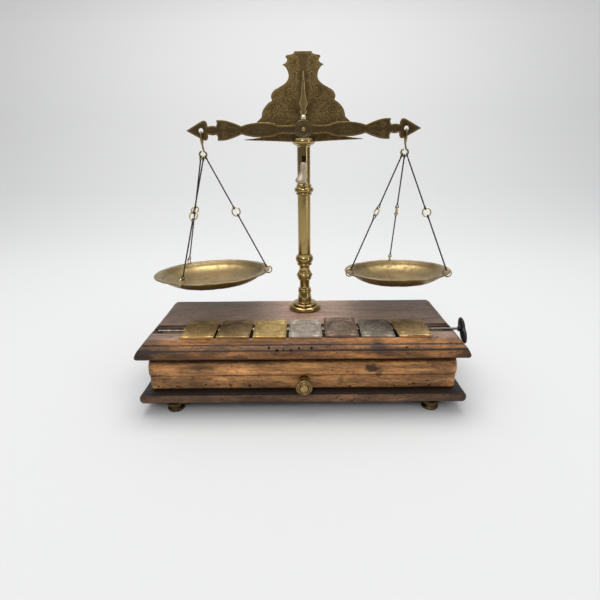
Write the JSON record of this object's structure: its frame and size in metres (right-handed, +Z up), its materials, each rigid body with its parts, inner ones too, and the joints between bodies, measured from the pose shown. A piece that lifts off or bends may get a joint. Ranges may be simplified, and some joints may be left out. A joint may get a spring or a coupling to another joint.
{
  "type": "coin balance",
  "caption": "Brass beam balance with hanging pans on a lifting column, standing on a moulded wooden drawer box with a rod-locked row of plaque weights.",
  "frame": {"origin": "middle of the whole object's bounding box, on the floor plane under the feet", "axes": "+Z up, +X to the right seen from the drawer side, +Y towards the back; the drawer opens along -Y"},
  "size_m": [0.3148, 0.1628, 0.3196],
  "materials": {
    "wood": "waxed, worn",
    "front_wood": "waxed, worn",
    "inner_wood": "bare",
    "brass": "aged",
    "dark_brass": "dark patina",
    "tin": "dull",
    "copper": "dark",
    "wire": "annealed wire",
    "iron": "forged, blackened",
    "steel": "dull",
    "bronze": "polished by use"
  },
  "bodies": {
    "box": {"top_board": "wood", "base_board": "wood", "case_left": "wood", "case_right": "wood", "case_back": "wood", "foot_front_left": "brass", "foot_front_right": "brass", "foot_back_left": "brass", "foot_back_right": "brass", "column_base": "brass", "column_nut": "brass", "column_tube": "brass", "top_collar": "brass", "rest_bar": "dark_brass", "crest_plate": "dark_brass", "crest_screw": "brass", "rod_guide": "brass"},
    "drawer": {"drawer_front": "front_wood", "drawer_left": "inner_wood", "drawer_right": "inner_wood", "drawer_back": "inner_wood", "drawer_bottom": "inner_wood", "drawer_knob": "brass"},
    "lift": {"lift_rod": "steel", "lift_lever": "bronze", "fork": "brass"},
    "balance": {"beam": "dark_brass", "pivot_pin": "brass", "pointer": "dark_brass"},
    "link_left": {"hook_left": "brass"},
    "bowl_left": {"pan_left": "brass", "ring_left_1": "brass", "wire_left_upper_1": "wire", "wire_left_lower_1": "wire", "ring_left_2": "brass", "wire_left_upper_2": "wire", "wire_left_lower_2": "wire", "ring_left_3": "brass", "wire_left_upper_3": "wire", "wire_left_lower_3": "wire"},
    "link_right": {"hook_right": "brass"},
    "bowl_right": {"pan_right": "brass", "ring_right_1": "brass", "wire_right_upper_1": "wire", "wire_right_lower_1": "wire", "ring_right_2": "brass", "wire_right_upper_2": "wire", "wire_right_lower_2": "wire", "ring_right_3": "brass", "wire_right_upper_3": "wire", "wire_right_lower_3": "wire"},
    "lock": {"lock_rod": "steel", "rod_wing": "iron"},
    "plaque_1": {"weight_1": "brass"},
    "plaque_2": {"weight_2": "dark_brass"},
    "plaque_3": {"weight_3": "brass"},
    "plaque_4": {"weight_4": "tin"},
    "plaque_5": {"weight_5": "copper"},
    "plaque_6": {"weight_6": "steel"},
    "plaque_7": {"weight_7": "brass"}
  },
  "joints": [
    {"name": "drawer_slide", "type": "slide", "parent": "box", "child": "drawer", "axis": [0, -1, 0], "range_m": [0, 0.075]},
    {"name": "lift_slide", "type": "slide", "parent": "box", "child": "lift", "axis": [0, 0, 1], "range_m": [0, 0.006]},
    {"name": "beam_tilt", "type": "hinge", "parent": "lift", "child": "balance", "pos_m": [0.00187, 0.02066, 0.2523], "axis": [0, 1, 0], "range_deg": [-4.5, 4.5]},
    {"name": "link_left_turn", "type": "hinge", "parent": "balance", "child": "link_left", "pos_m": [-0.09652, 0.02066, 0.25115], "axis": [0, 1, 0], "range_deg": [-5, 5]},
    {"name": "bowl_left_swing", "type": "hinge", "parent": "link_left", "child": "bowl_left", "pos_m": [-0.09652, 0.02066, 0.2271], "axis": [1, 0, 0], "range_deg": [-7, 7]},
    {"name": "link_right_turn", "type": "hinge", "parent": "balance", "child": "link_right", "pos_m": [0.10028, 0.02066, 0.25115], "axis": [0, 1, 0], "range_deg": [-5, 5]},
    {"name": "bowl_right_swing", "type": "hinge", "parent": "link_right", "child": "bowl_right", "pos_m": [0.10028, 0.02066, 0.2271], "axis": [1, 0, 0], "range_deg": [-7, 7]},
    {"name": "rod_slide", "type": "slide", "parent": "box", "child": "lock", "axis": [1, 0, 0], "range_m": [0, 0.27]},
    {"name": "plaque_1_lift", "type": "slide", "parent": "box", "child": "plaque_1", "axis": [0, 0, 1], "range_m": [0, 0.024]},
    {"name": "plaque_2_lift", "type": "slide", "parent": "box", "child": "plaque_2", "axis": [0, 0, 1], "range_m": [0, 0.024]},
    {"name": "plaque_3_lift", "type": "slide", "parent": "box", "child": "plaque_3", "axis": [0, 0, 1], "range_m": [0, 0.024]},
    {"name": "plaque_4_lift", "type": "slide", "parent": "box", "child": "plaque_4", "axis": [0, 0, 1], "range_m": [0, 0.024]},
    {"name": "plaque_5_lift", "type": "slide", "parent": "box", "child": "plaque_5", "axis": [0, 0, 1], "range_m": [0, 0.024]},
    {"name": "plaque_6_lift", "type": "slide", "parent": "box", "child": "plaque_6", "axis": [0, 0, 1], "range_m": [0, 0.024]},
    {"name": "plaque_7_lift", "type": "slide", "parent": "box", "child": "plaque_7", "axis": [0, 0, 1], "range_m": [0, 0.024]}
  ],
  "couplings": [
    {"joint": "link_left_turn", "follows": "beam_tilt", "ratio": -1},
    {"joint": "link_right_turn", "follows": "beam_tilt", "ratio": -1}
  ]
}
